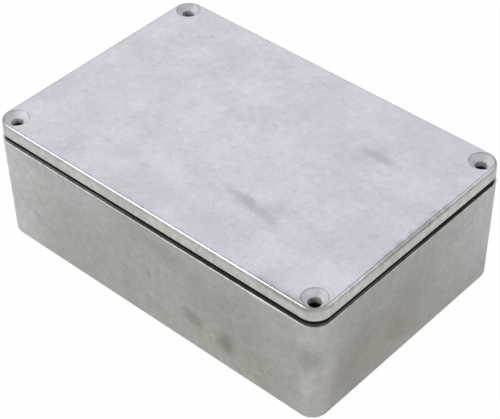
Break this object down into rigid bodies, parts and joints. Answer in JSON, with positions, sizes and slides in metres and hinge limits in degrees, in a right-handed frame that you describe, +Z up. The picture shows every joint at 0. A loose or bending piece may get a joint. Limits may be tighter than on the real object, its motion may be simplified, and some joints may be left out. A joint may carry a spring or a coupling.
{
  "type": "die-cast aluminium box",
  "caption": "Rectangular die-cast box with drafted walls, a countersunk screw-down lid and a moulded seal, for housing a circuit.",
  "frame": {"origin": "centre of the box's base, on the surface it stands on", "axes": "+X along the length, +Y along the width, +Z up through the lid"},
  "size_m": [0.1494, 0.1, 0.051],
  "materials": {
    "body_casting": "bare as-cast aluminium, satin, with faint mottling and a few small stains",
    "seal_elastomer": "matt dark grey moulded elastomer",
    "lid_casting": "bare as-cast aluminium, satin and a little smoother than the body, with faint smudges and scratches"
  },
  "bodies": {
    "root": {"box_body": "body_casting", "seal": "seal_elastomer", "lid": "lid_casting"}
  },
  "joints": []
}
